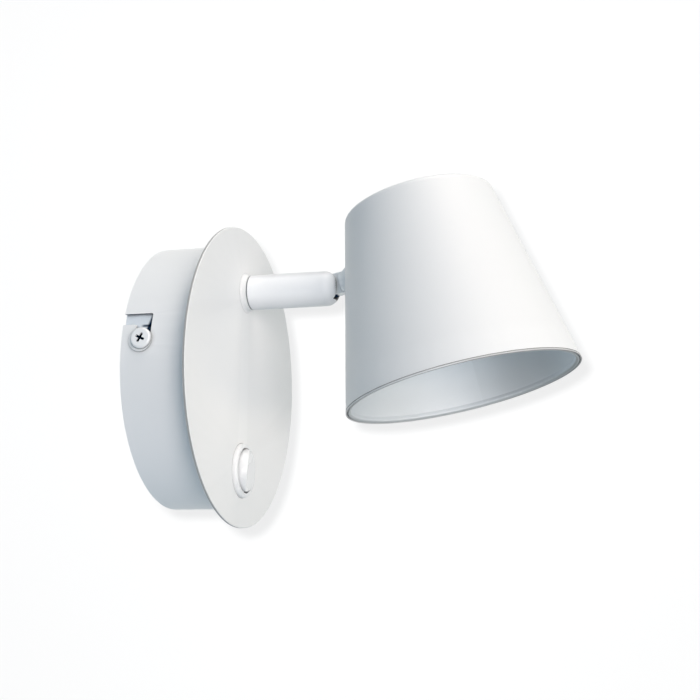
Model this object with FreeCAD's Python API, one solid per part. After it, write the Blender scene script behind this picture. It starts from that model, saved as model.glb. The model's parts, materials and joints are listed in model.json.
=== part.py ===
import FreeCAD, Part
import math
import os

V = FreeCAD.Vector

# Frame: the wall is the plane Y = 0, the light stands out along -Y and +Z is up.
# A distance out from the wall is called out, so a point's Y is -out.

# Front disc and wall cup
disc_overhang = 7.5
disc_t = 1.2
disc_edge_r = 0.35
base_depth = 29.0
cup_d = 105.0
cup_wall = 1.0
cup_corner_r = 2.0
stud_inset = 8.5
stud_r = 2.0
stud_len = 6.5
stud_angles = (35.0, 145.0, 215.0, 325.0)
disc_nut_af = 7.0
disc_nut_t = 3.0

# Wall bracket and the screws that lock the cup on it
bracket_turn = 7.0
bracket_w = 22.0
bracket_t = 1.5
bracket_bend_r = 0.3
bracket_fit = 0.15
ear_depth = 15.0
ear_corner_r = 3.0
wall_hole_pcd = 76.0
wall_hole_r = 2.5
cable_slot_l = 34.0
cable_slot_w = 14.0
earth_lug_w = 9.0
earth_lug_h = 8.5
earth_lug_x = 26.0
side_screw_out = 8.2
side_screw_r = 1.95
side_screw_len = 8.0
side_head_r = 4.0
side_head_h = 1.4
side_recess_turn = -26.0
side_washer_r = 4.6
side_washer_hole_r = 2.6
side_washer_t = 0.4
side_washer_back = 0.5
side_washer_drop = 0.3
earth_head_r = 3.5
earth_head_h = 2.2
slot_entry_w = 4.3
slot_twist = 7.85
slot_depth = 11.5
slot_leg_w = 6.2
slot_leg_past = 2.5
slot_corner_r = 0.7
slot_cut_depth = 5.0

# Posts, driver and terminal block in the cup
post_r = 3.0
post_h = 2.5
post_hole_r = 1.3
post_hole_depth = 3.0
small_screw_r = 1.25
small_head_r = 2.7
small_head_h = 1.8
small_screw_bite = 2.6
driver_l = 46.0
driver_w = 30.0
driver_h = 13.0
driver_cover_h = 5.0
driver_corner_r = 3.0
driver_edge_r = 1.2
driver_z = 1.0
driver_gap = 2.5
driver_tab_l = 7.0
driver_tab_w = 12.0
driver_tab_t = 2.2
block_w = 16.0
block_l = 24.0
block_h = 10.0
block_step_h = 6.0
block_top_w = 11.0
block_ways = 3
block_pitch = 8.0
way_r = 1.9
way_wall = 0.45
way_h = 3.2
clamp_spacing = 6.0
clamp_screw_r = 1.45
clamp_tip_lift = 0.9
clamp_slot_w = 0.7
clamp_slot_depth = 0.8
clamp_head_sink = 1.6

# Round rocker switch
switch_inset = 15.0
switch_turn = 12.0
bezel_r = 10.65
bezel_h = 2.0
bezel_round_r = 0.9
bezel_lip_r = 0.3
barrel_r = 9.85
barrel_hole_clear = 0.1
opening_r = 8.9
switch_depth = 14.0
cavity_depth = 5.4
snap_reach = 0.6
snap_w = 6.0
snap_l = 2.4
rocker_ball_r = 8.4
rocker_pivot_drop = 1.2
rocker_valley_h = 1.6
rocker_angle = 10.6
rocker_floor_h = 4.0
rocker_valley_r = 2.5
rocker_edge_r = 0.35
rocker_pin_r = 0.9
rocker_pin_reach = 9.45
rocker_stem_r = 1.3
rocker_stem_len = 5.4
blade_w = 4.8
blade_t = 0.8
blade_len = 7.0
blade_gap = 8.0
blade_hole_r = 0.8

# Arm: collar, hollow nipple and its stack, tube with forked tip
arm_inset = 18.0
nipple_r = 5.0
nipple_bore_r = 3.2
nipple_tail = 1.2
collar_foot_r = 8.1
collar_foot_t = 0.1
collar_r = 7.1
collar_t = 2.2
collar_fillet_r = 1.0
collar_edge_r = 0.15
bearing_r = 6.6
bearing_t = 0.4
fibre_r = 9.0
fibre_t = 0.5
stop_r = 9.0
stop_t = 1.0
stop_tab_reach = 13.0
stop_tab_w = 2.0
stop_lug_r = 11.6
stop_lug_w = 1.9
stop_lug_t = 3.0
stop_lug_h = 2.2
spring_r = 8.2
spring_t = 1.2
spring_split = 1.0
arm_nut_af = 14.0
arm_nut_t = 4.0
tube_r = 7.0
tube_end_out = 68.0
tube_round_r = 5.3
tube_foot_edge_r = 0.25
socket_len = 12.0
tube_bore_r = 4.0
tube_bore_end_out = 51.0
tube_wire_r = 2.2

# Tilt joint in the fork
pivot_back = 6.0
fork_slot_w = 5.0
fork_floor_gap = 0.5
tongue_r = 4.3
tongue_t = 3.9
pivot_r = 1.5
pivot_head_r = 2.7
pivot_head_h = 1.6
pivot_head_sink = 0.75
pivot_head_clear = 0.15
pivot_blind_wall = 1.2
pivot_tip_gap = 0.3
pivot_hex_af = 2.0
pivot_hex_depth = 0.9
tilt_washer_r = 4.0
tilt_washer_t = 0.5
shade_tilt = 13.64

# Knuckle
flare_u = 8.3
flange_u = 11.6
flange_r = 6.3
flare_round_r = 3.0
neck_round_l = 0.8
stem_r = 4.0
stem_bore_r = 2.0
stem_tail = 1.2
tongue_wire_r = 1.2
tongue_wire_end_u = 5.6
saddle_r = 6.5
saddle_face_depth = 2.3
knuckle_nut_af = 12.0
knuckle_nut_t = 3.5

# Shade, measured along its own axis from the level of the tilt joint
shade_axis_u = 44.6
shade_h = 76.7
shade_top_w = 22.3
mouth_r = 46.0
top_r = 29.5
shade_wall = 0.6
shade_top_t = 1.2
shade_top_round_r = 2.6
rim_round_r = 0.22
rim_groove_h = 0.6
rim_groove_w = 0.35
rim_groove_depth = 0.25
top_boss_r = 5.0
top_boss_h = 6.0
liner_gap = 0.25
liner_wall = 0.8
lip_recess = 0.15
lip_h = 2.2
lip_w = 1.6
lip_outer_round_r = 0.25
lip_inner_round_r = 1.1
liner_len = 34.0
shoulder_depth = 28.0
shoulder_t = 0.8
shoulder_w = 3.0
diffuser_t = 2.0
diffuser_clear = 0.25
ring_t = 1.2
ring_w = 2.6
ring_split = 6.0
reflector_top_r = 8.5
reflector_wall = 0.8
reflector_top_gap = 0.3
sink_r = 24.0
sink_base_t = 4.0
sink_base_w = -0.4
sink_hub_r = 7.0
sink_fin_count = 16
sink_fin_t = 1.5
sink_fin_inner_r = 6.0
sink_top_gap = 0.2
sink_screw_r = 1.95
sink_head_r = 3.6
sink_head_h = 2.2
sink_screw_bite = 4.0
board_r = 18.0
board_t = 1.6
board_screw_circle_r = 14.6
board_screw_count = 2
board_screw_bite = 2.8
chip_r = 4.9
chip_t = 0.9
chip_frame_w = 11.0
chip_frame_t = 0.4

# Clearances and cutting
fit_clear = 0.05
run_clear = 0.08
play = 0.05
through_clear = 0.2
curved_clear = 0.03
overrun = 2.0
tiny = 1e-6
recess_arm_w = 0.95
recess_span = 4.0
recess_depth = 1.3
recess_tip_share = 0.45
nut_chamfer_share = 0.12
head_round_share = 0.62

# Derived places
cup_r = cup_d / 2
disc_r = cup_r + disc_overhang
stud_circle_r = cup_r - stud_inset
arm_z = cup_r - arm_inset
switch_z = switch_inset - cup_r
disc_back = base_depth - disc_t
cup_floor = disc_back - cup_wall
post_top = cup_floor - post_h
wiring_l = driver_l + driver_tab_l + driver_tab_l + driver_gap + block_w
driver_x = driver_tab_l + (driver_l - wiring_l) / 2
block_x = (wiring_l - block_w) / 2
collar_top = base_depth + collar_t
tube_start = collar_top + bearing_t + play
pivot_out = tube_end_out - pivot_back
fork_floor = tongue_r + fork_floor_gap
stop_out = cup_floor - fibre_t - play
spring_out = stop_out - stop_t
arm_nut_out = spring_out - spring_t
nipple_end_out = arm_nut_out - arm_nut_t - nipple_tail
bezel_top = base_depth + bezel_h
switch_back_out = base_depth - switch_depth
cavity_floor_out = base_depth - cavity_depth
rocker_out = bezel_top - rocker_pivot_drop
ear_x = math.sqrt((cup_r - cup_wall) ** 2 - (bracket_w / 2) ** 2) - bracket_fit
mouth_w = shade_top_w - shade_h
cone_slope = (mouth_r - top_r) / shade_h
wall_across = shade_wall * math.hypot(1, cone_slope)
liner_across = liner_wall * math.hypot(1, cone_slope)
shade_ceiling_w = shade_top_w - shade_top_t
shoulder_top_w = mouth_w + shoulder_depth + shoulder_t
diffuser_top_w = shoulder_top_w + diffuser_t
ring_top_w = diffuser_top_w + ring_t
board_w = sink_base_w - board_t
axis_out = V(0, -1, 0)


def at(x, out, z):
    """A point at a distance out from the wall."""
    return V(x, -out, z)


def outline(corners, place):
    """A closed wire through corners (a, b) or (a, b, radius); a corner with a radius is rounded."""
    points = [V(c[0], c[1], 0) for c in corners]
    stops = []
    for i, corner in enumerate(corners):
        here = points[i]
        if len(corner) == 2:
            stops.append((here, None, here))
            continue
        back = (points[i - 1] - here).normalize()
        ahead = (points[(i + 1) % len(points)] - here).normalize()
        half = back.getAngle(ahead) / 2
        trim = corner[2] / math.tan(half)
        middle = (back + ahead).normalize() * (corner[2] / math.sin(half) - corner[2])
        stops.append((here + back * trim, here + middle, here + ahead * trim))
    edges = []
    for i, (start, middle, end) in enumerate(stops):
        following = stops[(i + 1) % len(stops)][0]
        if middle:
            edges.append(Part.Arc(place(start), place(middle), place(end)).toShape())
        if end.distanceToPoint(following) > tiny:
            edges.append(Part.makeLine(place(end), place(following)))
    return Part.Wire(edges)


def turned(corners, x, z):
    """A turned piece from (radius, out) corners, on an axis that stands out from the wall at x, z."""
    face = Part.Face(outline(corners, lambda p: at(x + p.x, p.y, z)))
    return face.revolve(at(x, 0, z), axis_out, 360)


def spun(corners):
    """A turned piece from (radius, height) corners on the shade's axis, with the tilt joint level."""
    face = Part.Face(outline(corners, lambda p: head(p.x, shade_axis_u, p.y)))
    return face.revolve(head(0, shade_axis_u, 0), V(0, 0, 1), 360)


def extruded(corners, place, travel):
    """A prism of an outline, moved along the vector travel."""
    return Part.Face(outline(corners, place)).extrude(travel)


def rod(r, start, end, x, z):
    """A cylinder from one distance out to another."""
    return Part.makeCylinder(r, end - start, at(x, start, z), axis_out)


def ring(outer_r, inner_r, start, end, x, z):
    """A flat ring from one distance out to another."""
    return rod(outer_r, start, end, x, z).cut(rod(inner_r, start, end, x, z))


def hole(r, start, end, x, z):
    """The cut of a round hole between two distances out, run past both."""
    return rod(r, start - overrun, end + overrun, x, z)


def along_x(r, start, end, out, z):
    """A cylinder along X from one place to another."""
    return Part.makeCylinder(r, end - start, at(start, out, z), V(1, 0, 0))


def span(middle, width):
    """The (low, high) pair of a width about its middle."""
    return middle - width / 2, middle + width / 2


def block(x_span, out_span, z_span):
    """A box from three (low, high) pairs."""
    low = at(x_span[0], out_span[1], z_span[0])
    return Part.makeBox(x_span[1] - x_span[0], out_span[1] - out_span[0], z_span[1] - z_span[0], low)


def joined(shapes):
    """All shapes as one solid."""
    first, rest = shapes[0], shapes[1:]
    return first.fuse(rest).removeSplitter() if rest else first


def grouped(shapes):
    """Separate solids kept in one node."""
    return Part.makeCompound(shapes)


def aimed(shape, base, direction):
    """A piece made along +Z from the origin, moved to base and pointed along direction."""
    moved = shape.copy()
    moved.Placement = FreeCAD.Placement(base, FreeCAD.Rotation(V(0, 0, 1), direction))
    return moved


def turned_about_y(shape, angle):
    """A copy turned about the axis of the disc."""
    moved = shape.copy()
    moved.rotate(V(0, 0, 0), V(0, 1, 0), angle)
    return moved


def head(x, u, w):
    """A point of the head before it is tilted: u out from the tilt joint, w above it."""
    return at(x, pivot_out + u, arm_z + w)


def tilted(shape):
    """A piece of the head, turned up about the tilt joint to the angle it is set to."""
    moved = shape.copy()
    moved.rotate(head(0, 0, 0), V(1, 0, 0), -shade_tilt)
    return moved


def round_up(shape, radius, chosen):
    """The shape with the chosen edges rounded."""
    return shape.makeFillet(radius, [e for e in shape.Edges if chosen(e)])


def cross_recess(top):
    """The cross-shaped recess of a screw head, tapering down from height top."""
    half = recess_span / 2
    low = top - recess_depth
    half_arm = recess_arm_w / 2
    rise = recess_depth + overrun
    arm = Part.makeBox(recess_span, recess_arm_w, rise, V(-half, -half_arm, low))
    across = Part.makeBox(recess_arm_w, recess_span, rise, V(-half_arm, -half, low))
    spread = half * (1 - recess_tip_share) * rise / recess_depth
    taper = Part.makeCone(half * recess_tip_share, half * recess_tip_share + spread, rise, V(0, 0, low))
    return arm.fuse(across).common(taper)


def pan_screw(shank_r, shank_len, head_r, head_h, recess_turn=0):
    """A pan-head screw along +Z: the head stands on the plane Z = 0 and the shank hangs below it."""
    corners = [(0, 0), (head_r, 0), (head_r, head_h, head_h * head_round_share), (0, head_h)]
    face = Part.Face(outline(corners, lambda p: V(p.x, 0, p.y)))
    body = face.revolve(V(0, 0, 0), V(0, 0, 1), 360)
    shank = Part.makeCylinder(shank_r, shank_len, V(0, 0, -shank_len))
    shank = round_up(shank, shank_r / 2, lambda e: abs(e.CenterOfMass.z + shank_len) < tiny)
    recess = cross_recess(head_h)
    recess.rotate(V(0, 0, 0), V(0, 0, 1), recess_turn)
    return body.fuse(shank).removeSplitter().cut(recess)


def hexagon(af, height):
    """A hexagonal prism along +Z from the origin."""
    corner_r = af / math.sqrt(3)
    turns = [k * math.pi / 3 for k in range(6)]
    points = [V(corner_r * math.cos(t), corner_r * math.sin(t), 0) for t in turns]
    return Part.Face(Part.makePolygon(points + points[:1])).extrude(V(0, 0, height))


def hex_nut(af, height, hole_r):
    """A nut along +Z from the origin, its corners chamfered at both ends."""
    corner_r = af / math.sqrt(3)
    bevel = af * nut_chamfer_share
    side = [(af / 2, 0), (corner_r, bevel), (corner_r, height - bevel), (af / 2, height)]
    corners = [(0, 0)] + side + [(0, height)]
    face = Part.Face(outline(corners, lambda p: V(p.x, 0, p.y)))
    barrel = face.revolve(V(0, 0, 0), V(0, 0, 1), 360)
    return hexagon(af, height).common(barrel).cut(Part.makeCylinder(hole_r, height))


def stud_places():
    """The x, z places of the disc's four welded studs."""
    turns = [math.radians(a) for a in stud_angles]
    return [(stud_circle_r * math.cos(t), stud_circle_r * math.sin(t)) for t in turns]


def post_places():
    """The x, z places of the cup's posts."""
    return driver_post_places() + block_post_places()


def driver_post_places():
    reach = driver_l / 2 + driver_tab_l / 2
    return [(driver_x - reach, driver_z), (driver_x + reach, driver_z)]


def block_post_places():
    return [(block_x, -block_pitch / 2), (block_x, block_pitch / 2)]


def bayonet_slot():
    """The L-shaped slot on the -X side: in from the rear rim, then down behind the locking screw."""
    screw_z = cup_r * math.sin(math.radians(bracket_turn))
    entry_z = screw_z + slot_twist
    top = entry_z + slot_entry_w / 2
    low = entry_z - slot_entry_w / 2
    leg_end = screw_z - slot_leg_past
    leg_out = slot_depth - slot_leg_w
    corners = [
        (top, -overrun),
        (top, slot_depth, slot_corner_r),
        (leg_end, slot_depth, slot_corner_r),
        (leg_end, leg_out, slot_corner_r),
        (low, leg_out, slot_corner_r),
        (low, -overrun),
    ]
    start = -cup_r - overrun
    return extruded(corners, lambda p: at(start, p.y, p.x), V(overrun + slot_cut_depth, 0, 0))


def wall_cup():
    """The deep round cup: closed front, open back, with posts and the arm's turning stop inside."""
    inner_r = cup_r - cup_wall
    shell = turned(
        [
            (0, disc_back),
            (cup_r, disc_back, cup_corner_r),
            (cup_r, 0),
            (inner_r, 0),
            (inner_r, cup_floor, cup_corner_r - cup_wall),
            (0, cup_floor),
        ],
        0,
        0,
    )
    posts = [rod(post_r, post_top, cup_floor + tiny, x, z) for x, z in post_places()]
    lug_z = arm_z + stop_lug_r
    lug_out = (cup_floor - stop_lug_h, cup_floor + tiny)
    lug = block(span(0, stop_lug_w), lug_out, (lug_z, lug_z + stop_lug_t))
    shell = joined([shell, lug] + posts)
    post_hole_end = post_top + post_hole_depth
    holes = [rod(post_hole_r, post_top - overrun, post_hole_end, x, z) for x, z in post_places()]
    holes += [hole(stud_r + fit_clear, cup_floor, disc_back, x, z) for x, z in stud_places()]
    slot = bayonet_slot()
    return shell.cut(holes + front_holes(cup_floor, disc_back) + [slot, turned_about_y(slot, 180)])


def front_holes(start, end):
    """The cuts for the arm's nipple and the switch's barrel."""
    arm_hole = hole(nipple_r + run_clear, start, end, 0, arm_z)
    return [arm_hole, hole(barrel_r + barrel_hole_clear, start, end, 0, switch_z)]


def front_disc():
    """The round front disc with four studs welded to its back."""
    edge = [(disc_r, disc_back, disc_edge_r), (disc_r, base_depth, disc_edge_r)]
    plate = turned([(0, disc_back)] + edge + [(0, base_depth)], 0, 0)
    studs = [rod(stud_r, disc_back - stud_len, disc_back + tiny, x, z) for x, z in stud_places()]
    return joined([plate] + studs).cut(front_holes(disc_back, base_depth))


def disc_nuts():
    nut = hex_nut(disc_nut_af, disc_nut_t, stud_r + fit_clear)
    return grouped([aimed(nut, at(x, cup_floor - disc_nut_t, z), axis_out) for x, z in stud_places()])


def wall_bracket():
    """The strap on the wall, with two ears bent forward inside the cup, and a lug for the earth screw."""
    half = bracket_w / 2
    inner_x = ear_x - bracket_t
    blank = block((-ear_x, ear_x), (0, ear_depth), span(0, bracket_w))
    hollow = block((-inner_x, inner_x), (bracket_t, ear_depth + overrun), span(0, bracket_w + overrun))
    bracket = round_up(blank.cut(hollow), bracket_bend_r, lambda e: is_bend(e, ear_x, 0))
    bracket = round_up(bracket, ear_corner_r, lambda e: is_ear_corner(e, half))
    tapped_r = side_screw_r + fit_clear
    cuts = cable_slot() + [hole(wall_hole_r, 0, bracket_t, x, 0) for x in span(0, wall_hole_pcd)]
    cuts.append(along_x(tapped_r, -cup_r, cup_r, side_screw_out, 0))
    lug = block(span(earth_lug_x, earth_lug_w), (0, earth_lug_h), (half - bracket_t, half))
    return turned_about_y(joined([bracket.cut(cuts), lug.cut(earth_bore())]), bracket_turn)


def cable_slot():
    """The oblong opening for the supply cable."""
    reach = cable_slot_l - cable_slot_w
    ends = [hole(cable_slot_w / 2, 0, bracket_t, x, 0) for x in span(0, reach)]
    return [block(span(0, reach), (-overrun, bracket_t + overrun), span(0, cable_slot_w))] + ends


def is_bend(edge, x, out):
    """The straight edges at x and out where the ears are bent up from the strap."""
    middle = edge.CenterOfMass
    along_z = edge.BoundBox.ZLength > bracket_t
    return along_z and abs(abs(middle.x) - x) < tiny and abs(middle.y + out) < tiny


def is_ear_corner(edge, half):
    """The four front corners of the ears."""
    middle = edge.CenterOfMass
    at_front = abs(middle.y + ear_depth) < tiny
    return at_front and abs(abs(middle.z) - half) < tiny


def earth_bore():
    """The hole of the earth screw through its lug."""
    start = V(earth_lug_x, -(bracket_t + earth_lug_h) / 2, 0)
    return Part.makeCylinder(side_screw_r + fit_clear, bracket_w, start, V(0, 0, 1))


def earth_screw():
    screw = pan_screw(side_screw_r, side_screw_len, earth_head_r, earth_head_h)
    seat = V(earth_lug_x, -(bracket_t + earth_lug_h) / 2, bracket_w / 2)
    return turned_about_y(aimed(screw, seat, V(0, 0, 1)), bracket_turn)


def side_washers():
    """Two loose washers on the cup's side, a little back and down under the locking screws' heads."""
    start = cup_r + curved_clear
    disc = Part.makeCylinder(side_washer_r, side_washer_t)
    disc = disc.cut(Part.makeCylinder(side_washer_hole_r, side_washer_t))
    left = aimed(disc, at(-start, side_screw_out - side_washer_back, -side_washer_drop), V(-1, 0, 0))
    left = turned_about_y(left, bracket_turn)
    return grouped([left, turned_about_y(left, 180)])


def side_screws():
    """Two pan-head screws through the cup's slots into the bracket's ears."""
    start = cup_r + curved_clear + side_washer_t
    screw = pan_screw(side_screw_r, side_screw_len, side_head_r, side_head_h, side_recess_turn)
    left = aimed(screw, at(-start, side_screw_out, 0), V(-1, 0, 0))
    left = turned_about_y(left, bracket_turn)
    return grouped([left, turned_about_y(left, 180)])


def driver_body(low, high):
    """A rounded box of the driver's outline between two distances out."""
    box = block(span(driver_x, driver_l), (low, high), span(driver_z, driver_w))
    return round_up(box, driver_corner_r, lambda e: e.BoundBox.YLength > driver_edge_r)


def driver_case():
    """The lower shell of the driver, with a screw tab at each end."""
    case = driver_body(post_top - driver_h + driver_cover_h, post_top)
    strip_x = span(driver_x, driver_l + driver_tab_l + driver_tab_l)
    tabs = block(strip_x, (post_top - driver_tab_t, post_top), span(driver_z, driver_tab_w))
    screw_r = small_screw_r + through_clear
    holes = [hole(screw_r, post_top - driver_tab_t, post_top, x, z) for x, z in driver_post_places()]
    return joined([case, tabs]).cut(holes)


def driver_cover():
    """The cover of the driver, its edges rounded."""
    low = post_top - driver_h
    cover = driver_body(low, low + driver_cover_h)
    return round_up(cover, driver_edge_r, lambda e: abs(e.CenterOfMass.y + low) < tiny)


def driver_screws():
    screw = pan_screw(small_screw_r, driver_tab_t + small_screw_bite, small_head_r, small_head_h)
    seats = [at(x, post_top - driver_tab_t, z) for x, z in driver_post_places()]
    return grouped([aimed(screw, seat, V(0, 1, 0)) for seat in seats])


def block_way_places():
    """The z places of the terminal block's ways."""
    return [(k - (block_ways - 1) / 2) * block_pitch for k in range(block_ways)]


def terminal_block():
    """The stepped terminal block, bored for its ways, clamp screws and fixing screws."""
    base = post_top
    step = base - block_step_h
    top = base - block_h
    left, right = span(block_x, block_w)
    top_left, top_right = span(block_x, block_top_w)
    lower = [(left, base), (right, base), (right, step)]
    upper = [(top_right, step), (top_right, top), (top_left, top), (top_left, step), (left, step)]
    body = extruded(lower + upper, lambda p: at(p.x, p.y, -block_l / 2), V(0, 0, block_l))
    cuts = []
    for z in block_way_places():
        cuts.append(along_x(way_r, left - overrun, right + overrun, base - way_h, z))
        cuts += [rod(clamp_screw_r + fit_clear, top - overrun, base - way_h, x, z) for x in clamp_places()]
    for x, z in block_post_places():
        cuts.append(hole(small_screw_r + through_clear, top, base, x, z))
        cuts.append(rod(small_head_r + through_clear, top - overrun, step, x, z))
    return body.cut(cuts)


def clamp_places():
    """The x places of each way's two clamp screws."""
    return span(block_x, clamp_spacing)


def terminal_sleeves():
    """The brass sleeve of each way, bored for the wire and for its two clamp screws."""
    sleeves = []
    left, right = span(block_x, block_w - through_clear)
    out = post_top - way_h
    for z in block_way_places():
        sleeve = along_x(way_r - fit_clear, left, right, out, z)
        cuts = [along_x(way_r - way_wall, left, right, out, z)]
        cuts += [rod(clamp_screw_r + fit_clear, out - way_r, out, x, z) for x in clamp_places()]
        sleeves.append(sleeve.cut(cuts))
    return grouped(sleeves)


def terminal_screws():
    """The clamp screws, sunk in the block's top, each with a slot; their tips stand in the ways."""
    top = post_top - block_h + clamp_head_sink
    tip = post_top - way_h - clamp_tip_lift
    slot_out = (top - overrun, top + clamp_slot_depth)
    screws = []
    for z in block_way_places():
        for x in clamp_places():
            slot = block(span(x, clamp_screw_r + clamp_screw_r), slot_out, span(z, clamp_slot_w))
            screws.append(rod(clamp_screw_r, top, tip, x, z).cut(slot))
    return grouped(screws)


def block_screws():
    seat = post_top - block_step_h
    screw = pan_screw(small_screw_r, block_step_h + small_screw_bite, small_head_r, small_head_h)
    return grouped([aimed(screw, at(x, seat, z), V(0, 1, 0)) for x, z in block_post_places()])


def switch_set(shape):
    """A piece of the switch, turned in its round hole."""
    moved = shape.copy()
    moved.rotate(at(0, 0, switch_z), V(0, 1, 0), switch_turn)
    return moved


def switch_housing():
    """The switch's body: round bezel, barrel through the disc, two snap lugs and an open well."""
    body = turned(
        [
            (0, switch_back_out),
            (barrel_r, switch_back_out),
            (barrel_r, base_depth),
            (bezel_r, base_depth),
            (bezel_r, bezel_top, bezel_round_r),
            (opening_r, bezel_top, bezel_lip_r),
            (opening_r, cavity_floor_out),
            (0, cavity_floor_out),
        ],
        0,
        switch_z,
    )
    snap_top = cup_floor - play
    snaps = ring(barrel_r + snap_reach, barrel_r - cup_wall / 2, snap_top - snap_l, snap_top, 0, switch_z)
    sides = block(span(0, snap_w), (snap_top - snap_l, snap_top), span(switch_z, disc_r))
    body = joined([body, snaps.common(sides)])
    return switch_set(body.cut(rocker_pins(rocker_pin_r + run_clear, rocker_pin_reach + run_clear)))


def rocker_pins(r, reach):
    """A cylinder along the rocker's axis, out to reach on both sides."""
    return Part.makeCylinder(r, reach + reach, at(0, rocker_out, switch_z - reach))


def switch_rocker():
    """The rocker: a ball cut to two faces that meet in a valley, on two pins, with its stem below."""
    centre = at(0, rocker_out, switch_z)
    ball = Part.makeSphere(rocker_ball_r, centre)
    rise = math.tan(math.radians(rocker_angle)) * (rocker_ball_r + overrun)
    edge_x = rocker_ball_r + overrun
    corners = [
        (-edge_x, rocker_valley_h + rise),
        (0, rocker_valley_h, rocker_valley_r),
        (edge_x, rocker_valley_h + rise),
        (edge_x, -rocker_floor_h),
        (-edge_x, -rocker_floor_h),
    ]
    start = switch_z - rocker_ball_r
    along = V(0, 0, rocker_ball_r + rocker_ball_r)
    body = ball.common(extruded(corners, lambda p: at(p.x, rocker_out + p.y, start), along))
    body = round_up(body, rocker_edge_r, lambda e: is_rocker_rim(e, centre))
    stem = rod(rocker_stem_r, rocker_out - rocker_stem_len, rocker_out, 0, switch_z)
    body = joined([body, rocker_pins(rocker_pin_r, rocker_pin_reach), stem])
    body.rotate(centre, V(0, 0, 1), rocker_angle)
    return switch_set(body)


def is_rocker_rim(edge, centre):
    """The edges where the two upper faces meet the ball."""
    middle = edge.CenterOfMass
    above = centre.y - middle.y > rocker_valley_h
    return above and edge.BoundBox.XLength > rocker_valley_r and edge.BoundBox.ZLength > rocker_valley_r


def switch_terminals():
    """Two flat blades behind the switch, each with a hole."""
    low = switch_back_out - blade_len
    blades = []
    for x in span(0, blade_gap):
        left, right = span(x, blade_t)
        blade = block((left, right), (low, switch_back_out), span(switch_z, blade_w))
        eye = along_x(blade_hole_r, left - overrun, right + overrun, low + blade_w / 2, switch_z)
        blades.append(switch_set(blade.cut(eye)))
    return grouped(blades)


def arm_collar():
    """The fixed collar at the arm's foot, flared on to the disc."""
    bore = nipple_r + run_clear
    foot_top = base_depth + collar_foot_t
    return turned(
        [
            (bore, base_depth),
            (collar_foot_r, base_depth),
            (collar_foot_r, foot_top),
            (collar_r, foot_top, collar_fillet_r),
            (collar_r, collar_top, collar_edge_r),
            (bore, collar_top),
        ],
        0,
        arm_z,
    )


def bearing_washer():
    return ring(bearing_r, nipple_r + run_clear, collar_top, collar_top + bearing_t, 0, arm_z)


def fibre_washer():
    return ring(fibre_r, nipple_r + run_clear, cup_floor - fibre_t, cup_floor, 0, arm_z)


def stop_washer():
    """The washer that turns with the arm; its tab meets the cup's lug at either end of the turn."""
    washer = rod(stop_r, stop_out - stop_t, stop_out, 0, arm_z)
    tab = block(span(0, stop_tab_w), (stop_out - stop_t, stop_out), (arm_z - stop_tab_reach, arm_z))
    bore = rod(nipple_r + fit_clear, stop_out - stop_t, stop_out, 0, arm_z)
    return joined([washer, tab]).cut(bore)


def spring_washer():
    """The split spring washer under the arm's nut."""
    washer = ring(spring_r, nipple_r + fit_clear, spring_out - spring_t, spring_out, 0, arm_z)
    split = block(span(0, spring_split), (spring_out - spring_t, spring_out), (arm_z, arm_z + spring_r))
    return washer.cut(split)


def arm_nut():
    nut = hex_nut(arm_nut_af, arm_nut_t, nipple_r + fit_clear)
    return aimed(nut, at(0, arm_nut_out - arm_nut_t, arm_z), axis_out)


def arm_nipple():
    """The hollow threaded nipple from behind the nut into the tube's socket."""
    return ring(nipple_r, nipple_bore_r, nipple_end_out, tube_start + socket_len - play, 0, arm_z)


def fork_slot():
    """The slot of the tube's tip: open to the front and the top, closed below, round about the pivot."""
    back = pivot_out - fork_floor
    corners = [
        (tube_end_out + overrun, -fork_floor),
        (back, -fork_floor, fork_floor - tiny),
        (back, tube_r + overrun),
        (tube_end_out + overrun, tube_r + overrun),
    ]
    return extruded(corners, lambda p: at(-fork_slot_w / 2, p.x, arm_z + p.y), V(fork_slot_w, 0, 0))


def arm_tube():
    """The arm: bored from its foot, its tip rounded, forked and drilled across for the pivot screw."""
    tube = turned(
        [
            (0, tube_start),
            (tube_r, tube_start, tube_foot_edge_r),
            (tube_r, tube_end_out, tube_round_r),
            (0, tube_end_out),
        ],
        0,
        arm_z,
    )
    tube = tube.cut(rod(nipple_r + fit_clear, tube_start - overrun, tube_start + socket_len, 0, arm_z))
    tube = tube.cut(rod(tube_bore_r, tube_start, tube_bore_end_out, 0, arm_z))
    tube = tube.cut(rod(tube_wire_r, tube_start, pivot_out - tongue_r / 2, 0, arm_z))
    tube = tube.cut(fork_slot())
    seat = tube_r - pivot_head_sink - pivot_head_h
    shank = along_x(pivot_r + fit_clear, pivot_blind_wall - tube_r, seat, pivot_out, arm_z)
    sink = along_x(pivot_head_r + pivot_head_clear, seat, tube_r + overrun, pivot_out, arm_z)
    return tube.cut([shank, sink])


def pivot_screw():
    """The cap screw across the fork, its head sunk in the hidden side of the tube."""
    seat = tube_r - pivot_head_sink - pivot_head_h
    tip = pivot_blind_wall + pivot_tip_gap - tube_r
    shank = along_x(pivot_r, tip, seat, pivot_out, arm_z)
    cap = along_x(pivot_head_r, seat, seat + pivot_head_h, pivot_out, arm_z)
    socket_floor = at(seat + pivot_head_h - pivot_hex_depth, pivot_out, arm_z)
    socket = aimed(hexagon(pivot_hex_af, pivot_hex_depth + overrun), socket_floor, V(1, 0, 0))
    return joined([shank, cap]).cut(socket)


def tilt_washers():
    """Two friction washers between the tongue and the fork's cheeks."""
    washers = []
    for middle in span(0, fork_slot_w - tilt_washer_t):
        left, right = span(middle, tilt_washer_t)
        washer = along_x(tilt_washer_r, left, right, pivot_out, arm_z)
        washers.append(washer.cut(along_x(pivot_r + fit_clear, left, right, pivot_out, arm_z)))
    return grouped(washers)


def cone_r(w):
    """The shade's outer radius at height w."""
    return mouth_r - (w - mouth_w) * cone_slope


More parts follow.
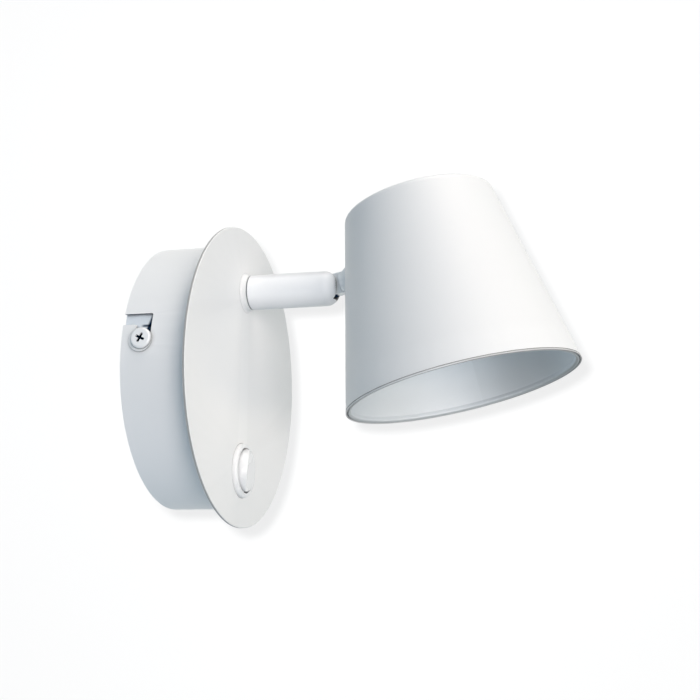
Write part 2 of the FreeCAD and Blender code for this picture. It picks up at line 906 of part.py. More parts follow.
def cone_body(grow, low, high):
    """A solid cone along the shade's wall, larger than the shade by grow."""
    return spun([(0, low), (cone_r(low) + grow, low), (cone_r(high) + grow, high), (0, high)])


def upright(r, low, high, x=0):
    """A cylinder along the shade's axis, or beside it at x."""
    return Part.makeCylinder(r, high - low, head(x, shade_axis_u, low))


def wall_u():
    """How far out from the tilt joint the shade's wall stands at the joint's level."""
    return shade_axis_u - cone_r(0)


def along_u(r, start, end):
    """A cylinder along the knuckle's own axis, before the head is tilted."""
    return Part.makeCylinder(r, end - start, head(0, start, 0), axis_out)


def knuckle_nut_u():
    """Where the knuckle's nut bears on its saddle washer."""
    return wall_u() + wall_across + saddle_face_depth


def knuckle():
    """The knuckle: flat tongue, neck flared to a seat cut to the shade, and a hollow threaded stem."""
    r = tongue_r
    corners = [(-r, -r, r), (-r, r, r), (flare_u, r), (flare_u, -r)]
    tongue = extruded(corners, lambda p: head(-tongue_t / 2, p.x, p.y), V(tongue_t, 0, 0))
    past_wall = pivot_out + flange_u + flange_r
    flange = turned(
        [
            (0, pivot_out + flare_u - neck_round_l),
            (r, pivot_out + flare_u - neck_round_l),
            (r, pivot_out + flare_u, flare_round_r),
            (flange_r, pivot_out + flange_u),
            (flange_r, past_wall),
            (0, past_wall),
        ],
        0,
        arm_z,
    )
    flange = flange.cut(cone_body(curved_clear, mouth_w, shade_top_w))
    stem_end = knuckle_nut_u() + knuckle_nut_t + stem_tail
    body = joined([tongue, flange, along_u(stem_r, flare_u, stem_end)])
    pin = along_x(pivot_r + run_clear, -tongue_t, tongue_t, pivot_out, arm_z)
    body = body.cut([pin, along_u(stem_bore_r, flare_u, stem_end + overrun)])
    wire_w = tongue_wire_r + tongue_wire_r
    wire_corner = head(-tongue_wire_r, tongue_wire_end_u + wire_w, 0)
    wire_out = Part.makeBox(wire_w, wire_w, tongue_r + overrun, wire_corner)
    return tilted(body.cut([along_u(tongue_wire_r, tongue_wire_end_u, flare_u + overrun), wire_out]))


def saddle_washer():
    """The washer inside the shade: one side cut to the cone, the other flat for the nut."""
    face_u = knuckle_nut_u()
    washer = along_u(saddle_r, 0, face_u).cut(along_u(stem_r + fit_clear, 0, face_u))
    return tilted(washer.common(cone_body(-wall_across - curved_clear, mouth_w, shade_top_w)))


def knuckle_nut():
    nut = hex_nut(knuckle_nut_af, knuckle_nut_t, stem_r + fit_clear)
    return tilted(aimed(nut, head(0, knuckle_nut_u(), 0), axis_out))


def shade_shell():
    """The conical outer shade: fine groove by its rim, closed top with a boss inside, knuckle's hole."""
    groove_low = mouth_w + rim_groove_h
    groove_top = groove_low + rim_groove_w
    shell = spun(
        [
            (mouth_r, mouth_w, rim_round_r),
            (cone_r(groove_low), groove_low),
            (cone_r(groove_low) - rim_groove_depth, groove_low),
            (cone_r(groove_top) - rim_groove_depth, groove_top),
            (cone_r(groove_top), groove_top),
            (top_r, shade_top_w, shade_top_round_r),
            (0, shade_top_w),
            (0, shade_ceiling_w),
            (cone_r(shade_ceiling_w) - wall_across, shade_ceiling_w, shade_top_round_r - shade_wall),
            (mouth_r - wall_across, mouth_w, rim_round_r),
        ]
    )
    boss_low = shade_ceiling_w - top_boss_h
    boss = upright(top_boss_r, boss_low, shade_ceiling_w + tiny)
    shell = joined([shell, boss])
    tapped = upright(sink_screw_r + fit_clear, boss_low - overrun, boss_low + sink_screw_bite + play)
    return tilted(shell.cut([tapped, along_u(stem_r + fit_clear, 0, shade_axis_u)]))


def liner_outer_r(w):
    return cone_r(w) - wall_across - liner_gap


def liner_inner_r(w):
    return liner_outer_r(w) - liner_across


def shade_liner():
    """The inner cone: a round lip level with the shade's rim, and a shoulder that holds the diffuser."""
    lip_low = mouth_w + lip_recess
    lip_r = liner_outer_r(lip_low)
    top = mouth_w + liner_len
    shoulder_low = mouth_w + shoulder_depth
    shoulder_r = liner_inner_r(shoulder_low) - shoulder_w
    return tilted(
        spun(
            [
                (liner_outer_r(top), top),
                (lip_r, lip_low, lip_outer_round_r),
                (lip_r - lip_w, lip_low, lip_inner_round_r),
                (liner_inner_r(lip_low + lip_h), lip_low + lip_h),
                (liner_inner_r(shoulder_low), shoulder_low),
                (shoulder_r, shoulder_low),
                (shoulder_r, shoulder_top_w),
                (liner_inner_r(shoulder_top_w), shoulder_top_w),
                (liner_inner_r(top), top),
            ]
        )
    )


def shade_ring(outer_r, inner_r, low, high):
    """A flat ring on the shade's axis."""
    return spun([(inner_r, low), (outer_r, low), (outer_r, high), (inner_r, high)])


def diffuser():
    """The frosted disc on the liner's shoulder."""
    return tilted(upright(liner_inner_r(diffuser_top_w) - diffuser_clear, shoulder_top_w, diffuser_top_w))


def ring_outer_r():
    return liner_inner_r(ring_top_w) - play


def diffuser_ring():
    """The split ring that holds the diffuser down."""
    outer = ring_outer_r()
    hoop = shade_ring(outer, outer - ring_w, diffuser_top_w, ring_top_w)
    corner = head(-ring_split / 2, shade_axis_u + outer, diffuser_top_w)
    split = Part.makeBox(ring_split, outer, ring_t, corner)
    return tilted(hoop.cut(split))


def reflector():
    """The cone that throws the light on to the diffuser; its flange lies on the diffuser's ring."""
    top = board_w - reflector_top_gap
    low = ring_top_w + play
    inner_r = ring_outer_r() - ring_w
    flange_r = liner_inner_r(low + reflector_wall) - diffuser_clear
    return tilted(
        spun(
            [
                (reflector_top_r, top),
                (reflector_top_r + reflector_wall, top),
                (inner_r + reflector_wall, low + reflector_wall),
                (flange_r, low + reflector_wall),
                (flange_r, low),
                (inner_r, low),
            ]
        )
    )


def heat_sink():
    """The heat sink: base plate, hub and radial fins up to the shade's ceiling."""
    base_top = sink_base_w + sink_base_t
    fin_h = shade_ceiling_w - sink_top_gap - base_top
    plate = upright(sink_r, sink_base_w, base_top)
    hub = upright(sink_hub_r, sink_base_w, shade_ceiling_w - top_boss_h)
    corner = head(sink_fin_inner_r, shade_axis_u + sink_fin_t / 2, base_top)
    fin = Part.makeBox(sink_r - sink_fin_inner_r - sink_fin_t, sink_fin_t, fin_h, corner)
    fins = []
    for k in range(sink_fin_count):
        turned_fin = fin.copy()
        turned_fin.rotate(head(0, shade_axis_u, 0), V(0, 0, 1), 360 * k / sink_fin_count)
        fins.append(turned_fin)
    below = sink_base_w - overrun
    cuts = [upright(sink_screw_r + through_clear, below, shade_top_w)]
    cuts.append(upright(sink_head_r + through_clear, below, sink_base_w + sink_head_h + play))
    for x in board_screw_places():
        cuts.append(upright(small_screw_r + fit_clear, below, sink_base_w + board_screw_bite, x))
    return tilted(joined([plate, hub] + fins).cut(cuts))


def heat_sink_screw():
    """The screw from below that pulls the heat sink up against the boss of the shade."""
    seat = sink_base_w + sink_head_h + play
    shank = shade_ceiling_w - top_boss_h + sink_screw_bite - seat
    screw = pan_screw(sink_screw_r, shank, sink_head_r, sink_head_h)
    return tilted(aimed(screw, head(0, shade_axis_u, seat), V(0, 0, -1)))


def board_screw_places():
    """The x places of the board's screws, across the shade's axis."""
    turn = 2 * math.pi / board_screw_count
    return [board_screw_circle_r * math.cos(k * turn) for k in range(board_screw_count)]


def led_board():
    plate = upright(board_r, board_w, sink_base_w)
    holes = [upright(small_screw_r + through_clear, board_w, sink_base_w, x) for x in board_screw_places()]
    return tilted(plate.cut(holes))


def board_screws():
    screw = pan_screw(small_screw_r, board_t + board_screw_bite - play, small_head_r, small_head_h)
    seats = [head(x, shade_axis_u, board_w) for x in board_screw_places()]
    return tilted(grouped([aimed(screw, seat, V(0, 0, -1)) for seat in seats]))


def led_chip():
    """The light chip: a square carrier with a round lit field."""
    half = chip_frame_w / 2
    corner = head(-half, shade_axis_u + half, board_w - chip_frame_t)
    carrier = Part.makeBox(chip_frame_w, chip_frame_w, chip_frame_t, corner)
    return tilted(joined([carrier, upright(chip_r, board_w - chip_t, board_w)]))


PIECES = [
    wall_bracket,
    earth_screw,
    side_washers,
    side_screws,
    wall_cup,
    front_disc,
    disc_nuts,
    driver_case,
    driver_cover,
    driver_screws,
    terminal_block,
    terminal_sleeves,
    terminal_screws,
    block_screws,
    switch_housing,
    switch_terminals,
    switch_rocker,
    arm_collar,
    bearing_washer,
    fibre_washer,
    stop_washer,
    spring_washer,
    arm_nut,
    arm_nipple,
    arm_tube,
    pivot_screw,
    tilt_washers,
    knuckle,
    saddle_washer,
    knuckle_nut,
    shade_shell,
    shade_liner,
    diffuser,
    diffuser_ring,
    reflector,
    heat_sink,
    heat_sink_screw,
    led_board,
    board_screws,
    led_chip,
]


def main():
    os.makedirs("parts", exist_ok=True)
    for make in PIECES:
        shape = make()
        name = make.__name__
        sound = shape.isValid() and all(s.isClosed() and s.Volume > 0 for s in shape.Solids)
        shape.exportStep(f"parts/{name}.step")
        print(f"{name:18s} solids {len(shape.Solids)} volume {shape.Volume:10.2f} sound {sound}")


main()
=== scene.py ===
import json
import math

import bpy
from mathutils import Matrix, Vector


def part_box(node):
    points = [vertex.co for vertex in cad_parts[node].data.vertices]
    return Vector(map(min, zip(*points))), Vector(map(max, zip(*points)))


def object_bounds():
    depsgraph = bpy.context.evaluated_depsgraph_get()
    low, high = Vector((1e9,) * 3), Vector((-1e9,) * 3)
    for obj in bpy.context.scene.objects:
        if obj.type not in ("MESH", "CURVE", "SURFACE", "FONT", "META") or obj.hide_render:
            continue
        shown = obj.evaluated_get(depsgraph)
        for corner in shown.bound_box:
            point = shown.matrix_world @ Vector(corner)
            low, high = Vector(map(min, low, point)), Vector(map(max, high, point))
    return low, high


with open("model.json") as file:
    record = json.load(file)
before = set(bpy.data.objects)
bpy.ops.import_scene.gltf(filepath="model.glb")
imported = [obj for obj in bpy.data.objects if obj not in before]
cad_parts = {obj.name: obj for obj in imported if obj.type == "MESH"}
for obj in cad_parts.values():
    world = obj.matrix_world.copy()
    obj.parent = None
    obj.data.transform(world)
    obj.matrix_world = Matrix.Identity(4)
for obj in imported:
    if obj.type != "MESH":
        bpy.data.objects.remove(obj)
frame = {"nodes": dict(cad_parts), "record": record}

CAD_BOUNDS = [list(v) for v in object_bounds()]
CENTRE = (Vector(CAD_BOUNDS[0]) + Vector(CAD_BOUNDS[1])) / 2
MM = 0.001
WHITE = (1, 1, 1, 1)
OFF_WALL, TO_WALL, UP, DOWN, LEFT = (0, -1, 0), (0, 1, 0), (0, 0, 1), (0, 0, -1), (-1, 0, 0)
scene = bpy.context.scene
scene.view_settings.view_transform = "Standard"


# Camera: fitted to the photograph, with the focal length in pixels of its 700-pixel frame
CAM_AZ, CAM_EL, CAM_ROLL = math.radians(-73.81), math.radians(-10.81), math.radians(-0.68)
CAM_PLACE = Vector((-481.36, -212.70, -86.51)) * MM
FOCAL_PX, FRAME_PX, SENSOR_MM = 1300.0, 700.0, 36.0
CLIP_NEAR, CLIP_FAR = 0.01, 10.0


def make_camera():
    """The camera at the photograph's place; returns its right, up and back directions."""
    level = math.cos(CAM_EL)
    back = Vector((math.sin(CAM_AZ) * level, -math.cos(CAM_AZ) * level, math.sin(CAM_EL)))
    right = (-back).cross(Vector(UP)).normalized()
    up = right.cross(-back).normalized()
    x_axis = right * math.cos(CAM_ROLL) - up * math.sin(CAM_ROLL)
    y_axis = right * math.sin(CAM_ROLL) + up * math.cos(CAM_ROLL)
    data = bpy.data.cameras.new("camera")
    data.sensor_width = SENSOR_MM
    data.lens = SENSOR_MM * FOCAL_PX / FRAME_PX
    data.clip_start, data.clip_end = CLIP_NEAR, CLIP_FAR
    cam = bpy.data.objects.new("camera", data)
    turn = Matrix((x_axis, y_axis, back)).transposed()
    cam.matrix_world = Matrix.Translation(CAM_PLACE) @ turn.to_4x4()
    scene.collection.objects.link(cam)
    scene.camera = cam
    return x_axis, y_axis, back


CAM_RIGHT, CAM_UP, CAM_BACK = make_camera()


# Node helpers
def node(tree, kind, sockets=None, **settings):
    """A new node. A socket given another node's output is linked to it, any other value is set."""
    made = tree.nodes.new(kind)
    for name, value in settings.items():
        setattr(made, name, value)
    for key, value in (sockets or {}).items():
        if isinstance(value, bpy.types.NodeSocket):
            tree.links.new(value, made.inputs[key])
        else:
            made.inputs[key].default_value = value
    return made


# The colour sockets of a mix node by number, because its sockets share their names
MIX_FACTOR, MIX_FIRST, MIX_SECOND, MIX_COLOUR_OUT = 0, 6, 7, 2


def mixed(tree, how, amount, first, second):
    """The output of a colour mix."""
    sockets = {MIX_FACTOR: amount, MIX_FIRST: first, MIX_SECOND: second}
    return node(tree, "ShaderNodeMix", sockets, data_type="RGBA", blend_type=how).outputs[MIX_COLOUR_OUT]


def ranged(tree, value, low, high, start=0.0, full=1.0, **settings):
    """A value brought from the range start to full into the range low to high."""
    sockets = {"Value": value, "From Min": start, "From Max": full, "To Min": low, "To Max": high}
    return node(tree, "ShaderNodeMapRange", sockets, **settings).outputs[0]


def noise(tree, scale, detail, place=None):
    """The value of a noise pattern."""
    sockets = {"Scale": scale, "Detail": detail}
    if place is not None:
        sockets["Vector"] = place
    return node(tree, "ShaderNodeTexNoise", sockets).outputs["Fac"]


def seen_direct(tree):
    """1 for what the camera sees directly, in a gloss or through glass, and 0 for diffuse light."""
    path = node(tree, "ShaderNodeLightPath")
    either = node(tree, "ShaderNodeMath", {0: path.outputs["Is Camera Ray"], 1: path.outputs["Is Glossy Ray"]},
                  operation="MAXIMUM")
    return node(tree, "ShaderNodeMath", {0: either.outputs[0], 1: path.outputs["Is Transmission Ray"]},
                operation="MAXIMUM").outputs[0]


# Light: a dim blue sky, and large soft lamps round the object
SKY_TINT, SKY_LEVEL = (0.36, 0.74, 1.0, 1), 0.195
LAMP_REACH, LAMP_SIZE = 1.4, 1.05
# Each lamp's name, its bearing from -X towards -Y and its height, both in degrees, its watts and its tint
LAMPS = (
    ("side", 35, -10, 19.9, (1.0, 0.905, 0.87)),
    ("top", 60, 78, 13.1, (1.0, 0.915, 0.85)),
    ("key", 55, 15, 2.3, (1.0, 0.95, 0.80)),
    ("front", 90, -20, 7.3, (1.0, 0.85, 0.64)),
)


def make_world():
    """The sky's light for the object, and plain white for what sees the sky directly."""
    world = bpy.data.worlds.new("studio")
    scene.world = world
    world.use_nodes = True
    tree = world.node_tree
    tree.nodes.clear()
    fill = node(tree, "ShaderNodeBackground", {"Color": SKY_TINT, "Strength": SKY_LEVEL})
    seen = node(tree, "ShaderNodeBackground", {"Color": WHITE, "Strength": 1.0})
    mix = node(tree, "ShaderNodeMixShader", {0: seen_direct(tree), 1: fill.outputs[0], 2: seen.outputs[0]})
    node(tree, "ShaderNodeOutputWorld", {"Surface": mix.outputs[0]})


def make_lamp(name, place, size, power, colour):
    """A round lamp that faces the middle of the object."""
    data = bpy.data.lights.new(name, "AREA")
    data.shape = "DISK"
    data.size = size
    data.energy = power
    data.color = colour
    lamp = bpy.data.objects.new(name, data)
    scene.collection.objects.link(lamp)
    lamp.location = place
    lamp.rotation_mode = "QUATERNION"
    lamp.rotation_quaternion = (CENTRE - place).to_track_quat("-Z", "Y")
    return lamp


make_world()
for lamp_name, bearing, height, watts, tint in LAMPS:
    across, rise = math.radians(bearing), math.radians(height)
    toward = Vector((-math.cos(across) * math.cos(rise), -math.sin(across) * math.cos(rise), math.sin(rise)))
    make_lamp(lamp_name, CENTRE + toward * LAMP_REACH, LAMP_SIZE, watts, tint)


# Stage: a pale floor, and a white sheet behind the object, square to the camera
FLOOR_Z, FLOOR_HALF = -0.35, 3.0
FLOOR_ALBEDO, FLOOR_GLOW, FLOOR_FILL, FLOOR_TINT = 0.3, 0.62, 0.25, (0.45, 0.75, 1.0, 1)
SHEET_BEHIND, SHEET_HALF = 0.85, 0.6
SHEET_ALBEDO, SHEET_GLOW, SHEET_FILL, SHEET_TINT = 0.12, 0.765, 1.17, (1.0, 0.88, 0.70, 1)
MOTTLE_SCALE, MOTTLE_DETAIL, MOTTLE_LOW = 6.0, 2.0, 0.97
SHADOW_SHIFT, SHADOW_SIZE, SHADOW_POWER = Vector((-0.006, 0.006)), 0.007, 28.0


def stage_paper(name, albedo, glow, fill, tint):
    """White paper: it takes shadows, glows for what sees it directly and sends back the sky's light."""
    material = bpy.data.materials.new(name)
    material.use_nodes = True
    tree = material.node_tree
    tree.nodes.clear()
    tone = ranged(tree, noise(tree, MOTTLE_SCALE, MOTTLE_DETAIL), albedo * MOTTLE_LOW, albedo)
    paper = node(tree, "ShaderNodeBsdfDiffuse", {"Color": tone})
    direct = node(tree, "ShaderNodeEmission", {"Color": WHITE, "Strength": glow})
    spread = node(tree, "ShaderNodeEmission", {"Color": tint, "Strength": fill})
    light = node(tree, "ShaderNodeMixShader", {0: seen_direct(tree), 1: spread.outputs[0], 2: direct.outputs[0]})
    both = node(tree, "ShaderNodeAddShader", {0: paper.outputs[0], 1: light.outputs[0]})
    node(tree, "ShaderNodeOutputMaterial", {"Surface": both.outputs[0]})
    return material


def stage_sheet(name, half, material, place, turn):
    """A flat square of the stage, its half side given, turned by a matrix of its three directions."""
    mesh = bpy.data.meshes.new(name)
    mesh.from_pydata([(-half, -half, 0), (half, -half, 0), (half, half, 0), (-half, half, 0)], [], [(0, 1, 2, 3)])
    mesh.materials.append(material)
    sheet = bpy.data.objects.new(name, mesh)
    scene.collection.objects.link(sheet)
    sheet.matrix_world = Matrix.Translation(place) @ turn.to_4x4()
    return sheet


def make_shadow_lamp(sheet):
    """A small lamp beside the camera that lights the sheet alone, for the soft shadow round the object."""
    place = CAM_PLACE + CAM_RIGHT * SHADOW_SHIFT.x + CAM_UP * SHADOW_SHIFT.y
    lamp = make_lamp("backdrop_lamp", place, SHADOW_SIZE, SHADOW_POWER, WHITE[:3])
    lit = bpy.data.collections.new("lit_by_backdrop_lamp")
    lit.objects.link(sheet)
    lamp.light_linking.receiver_collection = lit


floor_paper = stage_paper("floor_paper", FLOOR_ALBEDO, FLOOR_GLOW, FLOOR_FILL, FLOOR_TINT)
stage_sheet("floor", FLOOR_HALF, floor_paper, Vector((0, CENTRE.y, FLOOR_Z)), Matrix.Identity(3))
backdrop_paper = stage_paper("backdrop_paper", SHEET_ALBEDO, SHEET_GLOW, SHEET_FILL, SHEET_TINT)
make_shadow_lamp(stage_sheet("backdrop", SHEET_HALF, backdrop_paper, CENTRE - CAM_BACK * SHEET_BEHIND,
                             Matrix((CAM_RIGHT, CAM_UP, CAM_BACK)).transposed()))


# Painted light and shade: where a surface is painted darker or lighter than its paint, standing in for shade,
# shadow or light that falls on it. Each is a level or a dark colour, and the limits that hold it. A limit is the
# normal's or the place's reach along a direction, with the values where the mark starts and where it is full.
# Places are in millimetres.
def facing(direction, start, full):
    """A limit on the surface's normal."""
    return ("Normal", tuple(direction), start, full)


def beyond(direction, start, full):
    """A limit on the place."""
    return ("Object", tuple(direction), start * MM, full * MM)


def between(direction, middle, half, soft):
    """Two limits that hold a place within half of the middle along a direction."""
    back = [-c for c in direction]
    return (beyond(direction, middle - half - soft, middle - half),
            beyond(back, -middle - half - soft, -middle - half))


def extent(name, direction):
    """How far a piece reaches along a direction."""
    return max(Vector(direction).dot(v.co) for v in frame["nodes"][name].data.vertices) / MM


def mid_y(name):
    """The middle of a piece along Y."""
    return sum(v[1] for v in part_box(name)) / 2 / MM


# Dark colours of painted shadow: a deep gap, a thin line, and the slot's upper face
PAINTED_GAP_SHADOW, PAINTED_LINE_SHADOW, PAINTED_SLOT_SHADOW = (0.015, 0.035, 0.075), (0.08, 0.11, 0.15), (0.10, 0.14, 0.19)

# Painted shade on the narrow edge of the disc
RIM_PAINTED_SHADE = (0.45, (facing(TO_WALL, -0.6, -0.1), facing(TO_WALL, 0.6, 0.1)))

# Painted shadows on the bracket's ear, above the screw: a wedge beyond a slanting line, and a thin line above the
# washer
WEDGE_WAY = (0, -0.946, -0.326)
ABOVE_SCREW = beyond(UP, 8.5, 9.5)
EAR_PAINTED_SHADOWS = (
    (PAINTED_GAP_SHADOW, (beyond(WEDGE_WAY, 4.3, 5.2), ABOVE_SCREW)),
    (PAINTED_LINE_SHADOW, (beyond(DOWN, -12.6, -12.0), beyond(OFF_WALL, 6.0, 7.8), beyond(UP, 11.2, 11.7))),
)

# Painted shade on the upper face of the cup's slot
SLOT_PAINTED_SHADE = (PAINTED_SLOT_SHADOW, (facing(DOWN, 0.7, 0.95), beyond(UP, 10.0, 12.0), beyond(LEFT, 45.0, 47.0)))

# Painted shadow in the cross recess of each side screw; the bracket and its two screws are turned from level
BRACKET_TURN = math.radians(7.0)
SCREW_OUT = Vector((-math.cos(BRACKET_TURN), 0, math.sin(BRACKET_TURN)))
SCREW_UP = Vector((math.sin(BRACKET_TURN), 0, math.cos(BRACKET_TURN)))
RECESS_IN, RECESS_HALF_DEEP, RECESS_HALF_WIDE, RECESS_SOFT = 1.2, 0.7, 1.9, 0.2
SCREW_TOP = extent("side_screws", SCREW_OUT)
RECESS_PAINTED_SHADOWS = tuple(
    (PAINTED_GAP_SHADOW, (*between(SCREW_OUT * sign, SCREW_TOP - RECESS_IN, RECESS_HALF_DEEP, RECESS_SOFT),
             *between(SCREW_UP, 0, RECESS_HALF_WIDE, RECESS_SOFT),
             *between(TO_WALL, mid_y("side_screws"), RECESS_HALF_WIDE, RECESS_SOFT)))
    for sign in (1, -1))

# Painted shade on the arm's tube from below and above, and painted shadow on the underside of the knuckle's tongue
# where it enters the tube
TIP_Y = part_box("arm_tube")[0][1] / MM
TUBE_PAINTED_SHADES = ((0.85, (facing(DOWN, 0.3, 1.0),)), (0.80, (facing(UP, 0.50, 0.85),)))
FORK_PAINTED_SHADOW = (PAINTED_GAP_SHADOW, (facing(DOWN, 0.4, 0.8), beyond(TO_WALL, TIP_Y - 0.4, TIP_Y + 0.4)))

# The shade: painted shade on its rim, darker on the camera's side, and on a strip above the rim on the side away
# from the wall
JOINTS = {row["name"]: row for row in frame["record"]["behaviour"]["joints"]}
TILT = -math.radians(JOINTS["shade_tilt"]["range_deg"][0])
MOUTH = Vector((0, -math.sin(TILT), -math.cos(TILT)))
RIM_AT, SHELL_MID_Y = extent("shade_shell", MOUTH), mid_y("shade_shell")
SHELL_PAINTED_SHADES = (
    (0.60, (facing(MOUTH, 0.25, 0.8),)),
    (0.67, (facing(MOUTH, 0.25, 0.8), beyond(LEFT, -5.0, 5.0))),
    (0.60, (beyond(MOUTH, RIM_AT - 0.8, RIM_AT - 0.2), beyond(OFF_WALL, -SHELL_MID_Y, 16.0 - SHELL_MID_Y))),
)

# The liner: painted shade on its lip and on a band where it half faces the wall, and painted light deep inside and
# where it faces the wall
LINER_PAINTED_LIGHT_AND_SHADE = (
    (0.66, (facing(MOUTH, 0.2, 0.9),)),
    (0.70, (facing(TO_WALL, -0.25, 0.40), facing(TO_WALL, 1.0, 0.55))),
    (1.14, (beyond(-MOUTH, 5.0 - RIM_AT, 20.0 - RIM_AT),)),
    (1.10, (facing(TO_WALL, 0.75, 1.0),)),
)


def within(tree, limits):
    """1 where the surface lies within all limits, else 0."""
    inside = None
    for kind, direction, start, full in limits:
        way = node(tree, "ShaderNodeTexCoord").outputs[kind]
        along = node(tree, "ShaderNodeVectorMath", {0: way, 1: direction}, operation="DOT_PRODUCT").outputs["Value"]
        part = ranged(tree, along, 0.0, 1.0, start, full, interpolation_type="SMOOTHSTEP")
        inside = part if inside is None else node(tree, "ShaderNodeMath", {0: inside, 1: part},
                                                  operation="MULTIPLY").outputs[0]
    return inside


# Finishes
CLOUD_SCALE, CLOUD_DETAIL = 26.0, 4.0
SPANGLE_SCALE = 420.0
WORN_FROM, WORN_TO, WORN_GAIN = 0.52, 0.60, 1.12
# Painted shade in corners, and in crevices within half a millimetre
CORNER_SHADE_FROM = 0.15
CREVICE_REACH, CREVICE_FROM, CREVICE_TO = 0.5 * MM, 0.55, 0.95
CORNER_SAMPLES = 8
GLOSS_LOW, GLOSS_HIGH, COAT_ROUGH = 0.88, 1.12, 0.2
GRAIN_DETAIL, GRAIN_DEPTH = 2.0, 0.05 * MM
PEEL_SCALE, PEEL_DETAIL, PEEL_DEPTH = 1400.0, 1.0, 0.1 * MM
LINES_SCALE, LINES_DETAIL, LINES_DEPTH = (60, 60, 5200), 3.0, 0.04 * MM
STREAK_TURN = 0.25


def corners(tree, reach, start, full, amount):
    """Painted shade: 1 on open surfaces, and less by the amount in corners within reach."""
    near = node(tree, "ShaderNodeAmbientOcclusion", {"Distance": reach}, samples=CORNER_SAMPLES).outputs["AO"]
    return ranged(tree, near, 1.0 - amount, 1.0, start, full)


def bumped(tree, strength, depth, height, below=None):
    """The normal of a bump, over the normal below it where one is given."""
    sockets = {"Strength": strength, "Distance": depth, "Height": height}
    if below is not None:
        sockets["Normal"] = below
    return node(tree, "ShaderNodeBump", sockets).outputs[0]


def finish(name, colour, rough, metal=0.0, peel=0.0, grain=0.02, grain_scale=5000.0, vary=0.02, wear=0.0,
           corner_shade=0.0, reach=4.0, free=0.70, crevice_shade=0.0, coat=0.0, lines=0.0, streak=0.0, spangle=0.0, shine=0.5,
           marks=()):
    """A material with orange peel, fine grain, clouds of tone and gloss, worn edges, and painted light and shade.

    Painted shade in corners reaches so many millimetres out of a corner and ends where the share of open sky is at
    free.
    Lines are those of turning on a lathe, and streak draws the gloss out along them.
    """
    material = bpy.data.materials.new(name)
    material.use_nodes = True
    tree = material.node_tree
    body = tree.nodes["Principled BSDF"]
    body.inputs["Metallic"].default_value = metal
    body.inputs["Specular IOR Level"].default_value = shine
    body.inputs["Coat Weight"].default_value = coat
    body.inputs["Coat Roughness"].default_value = COAT_ROUGH
    place = node(tree, "ShaderNodeTexCoord").outputs["Object"]
    cloud = noise(tree, CLOUD_SCALE, CLOUD_DETAIL, place)
    paint = mixed(tree, "MULTIPLY", 1.0, (*colour, 1), ranged(tree, cloud, 1.0 - vary, 1.0))
    if spangle:
        cells = node(tree, "ShaderNodeTexVoronoi", {"Vector": place, "Scale": SPANGLE_SCALE}).outputs["Color"]
        grey = node(tree, "ShaderNodeRGBToBW", {0: cells}).outputs[0]
        paint = mixed(tree, "MULTIPLY", 1.0, paint, ranged(tree, grey, 1.0 - spangle, 1.0))
    if wear:
        bend = node(tree, "ShaderNodeNewGeometry").outputs["Pointiness"]
        rubbed = ranged(tree, bend, 0.0, wear, WORN_FROM, WORN_TO)
        paint = mixed(tree, "MIX", rubbed, paint, (*[min(1.0, c * WORN_GAIN) for c in colour], 1))
    # Painted shade in corners, where shade falls
    if corner_shade:
        paint = mixed(tree, "MULTIPLY", 1.0, paint, corners(tree, reach * MM, CORNER_SHADE_FROM, free, corner_shade))
    # Painted shade in fine crevices and between parts
    if crevice_shade:
        crease_shade = corners(tree, CREVICE_REACH, CREVICE_FROM, CREVICE_TO, crevice_shade)
        paint = mixed(tree, "MULTIPLY", 1.0, paint, crease_shade)
    # Painted light and shade within each mark's limits; a painted shadow also loses its gloss
    for level, limits in marks:
        inside, dark = within(tree, limits), isinstance(level, tuple)
        paint = mixed(tree, "MULTIPLY", inside, paint, (*level, 1) if dark else (level, level, level, 1))
        if dark:
            shine = ranged(tree, inside, shine, 0.0)
            tree.links.new(shine, body.inputs["Specular IOR Level"])
    tree.links.new(paint, body.inputs["Base Color"])
    tree.links.new(ranged(tree, cloud, rough * GLOSS_LOW, rough * GLOSS_HIGH), body.inputs["Roughness"])
    normal = bumped(tree, grain, GRAIN_DEPTH, noise(tree, grain_scale, GRAIN_DETAIL, place))
    if peel:
        normal = bumped(tree, peel, PEEL_DEPTH, noise(tree, PEEL_SCALE, PEEL_DETAIL, place), normal)
    if lines:
        level = node(tree, "ShaderNodeMapping", {"Vector": place, "Rotation": (-TILT, 0, 0), "Scale": LINES_SCALE})
        turned = noise(tree, 1.0, LINES_DETAIL, level.outputs[0])
        normal = bumped(tree, lines, LINES_DEPTH, turned, normal)
    tree.links.new(normal, body.inputs["Normal"])
    if streak:
        body.inputs["Anisotropic"].default_value = streak
        body.inputs["Anisotropic Rotation"].default_value = STREAK_TURN
        around = node(tree, "ShaderNodeTangent", direction_type="RADIAL", axis="Z")
        tree.links.new(around.outputs[0], body.inputs["Tangent"])
    return material


# The white lacquer, and lighter copies of it on the cup, disc, arm, knuckle and side screws: painted light where
# more light falls
LACQUER, CUP_LIT_LACQUER, DISC_LIT_LACQUER = (0.81, 0.82, 0.825), (0.845, 0.855, 0.86), (0.845, 0.85, 0.85)
ARM_LIT_LACQUER, KNUCKLE_LIT_LACQUER, SCREW_LIT_LACQUER = (0.90, 0.92, 0.94), (0.87, 0.90, 0.92), (0.93, 0.94, 0.95)


def lacquer(ending="", colour=LACQUER, rough=0.40, peel=0.10, corner_shade=0.35, crevice_shade=0.5, **more):
    """The white lacquer as one piece wears it."""
    return finish("white_lacquer" + ending, colour, rough, peel=peel, grain=0.10, vary=0.015, wear=0.5, corner_shade=corner_shade,
                  crevice_shade=crevice_shade, **more)


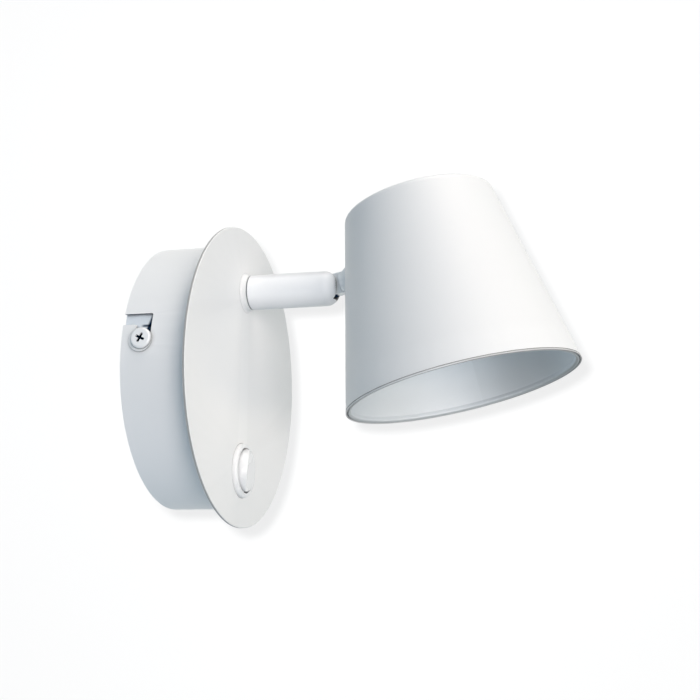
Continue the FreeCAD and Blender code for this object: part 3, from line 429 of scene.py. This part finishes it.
# The finish of each slot of the record
FINISH = {
    "white_lacquer": lacquer(crevice_shade=0.6),
    "silver_lacquer": finish("silver_lacquer", (0.73, 0.765, 0.785), 0.62, metal=0.25, grain=0.1, lines=0.25,
                             vary=0.03, streak=0.3, crevice_shade=0.4, shine=0.15, marks=LINER_PAINTED_LIGHT_AND_SHADE),
    "galvanised": finish("galvanised", (0.73, 0.79, 0.85), 0.42, metal=0.45, spangle=0.14, grain=0.08, wear=0.4,
                         corner_shade=0.85, marks=EAR_PAINTED_SHADOWS),
    "zinc_steel": finish("zinc_steel", (0.66, 0.68, 0.70), 0.28, metal=0.95, grain=0.1, vary=0.08, wear=0.5),
    "white_plastic": finish("white_plastic", (0.84, 0.85, 0.86), 0.28, grain=0.03, vary=0.01, coat=0.1,
                            corner_shade=0.35, reach=2.0),
    "dull_plastic": finish("dull_plastic", (0.70, 0.70, 0.68), 0.52, peel=0.1, grain=0.25, wear=0.2),
    "brass": finish("brass", (0.72, 0.54, 0.26), 0.30, metal=1.0, grain=0.08, vary=0.12, wear=0.5),
    "black_plastic": finish("black_plastic", (0.26, 0.28, 0.30), 0.45, grain=0.15, vary=0.2),
    "fibre": finish("fibre", (0.30, 0.09, 0.05), 0.72, grain=0.4, grain_scale=2200.0, vary=0.25),
    "frosted": finish("frosted", (0.84, 0.85, 0.86), 0.6, grain=0.15),
    "reflector_white": finish("reflector_white", (0.86, 0.86, 0.86), 0.3, grain=0.05),
    "cast_aluminium": finish("cast_aluminium", (0.62, 0.63, 0.64), 0.5, metal=0.9, peel=0.5, grain=0.4, vary=0.1),
    "board": finish("board", (0.82, 0.82, 0.80), 0.35, grain=0.05),
    "phosphor": finish("phosphor", (0.80, 0.62, 0.12), 0.3, grain=0.2, vary=0.1),
}

# The lacquered pieces with painted light and shade of their own: a lighter copy of the lacquer, painted marks, or
# more or less painted shade in corners and crevices than the slot
LACQUER_WITH_PAINTED_SHADE = {
    "arm_tube": lacquer("_arm", ARM_LIT_LACQUER, corner_shade=0.95, reach=6.0, crevice_shade=0.45, marks=TUBE_PAINTED_SHADES),
    "knuckle": lacquer("_knuckle", KNUCKLE_LIT_LACQUER, corner_shade=0.2, crevice_shade=0.3, marks=(FORK_PAINTED_SHADOW,)),
    "side_screws": lacquer("_screw", SCREW_LIT_LACQUER, 0.34, peel=0.05, corner_shade=1.0, free=0.95, crevice_shade=0.3,
                           marks=RECESS_PAINTED_SHADOWS),
    "arm_collar": lacquer("_collar", crevice_shade=0.15),
    "front_disc": lacquer("_disc", DISC_LIT_LACQUER, marks=(RIM_PAINTED_SHADE,)),
    "shade_shell": lacquer("_shell", marks=SHELL_PAINTED_SHADES),
    "wall_cup": lacquer("_cup", CUP_LIT_LACQUER, corner_shade=0.85, reach=2.0, free=0.95, crevice_shade=0.3, marks=(SLOT_PAINTED_SHADE,)),
}

for row in frame["record"]["subparts"]:
    shown = frame["nodes"][row["node"]]
    shown.data.materials.clear()
    shown.data.materials.append(LACQUER_WITH_PAINTED_SHADE.get(row["node"], FINISH[row["material_slot"]]))
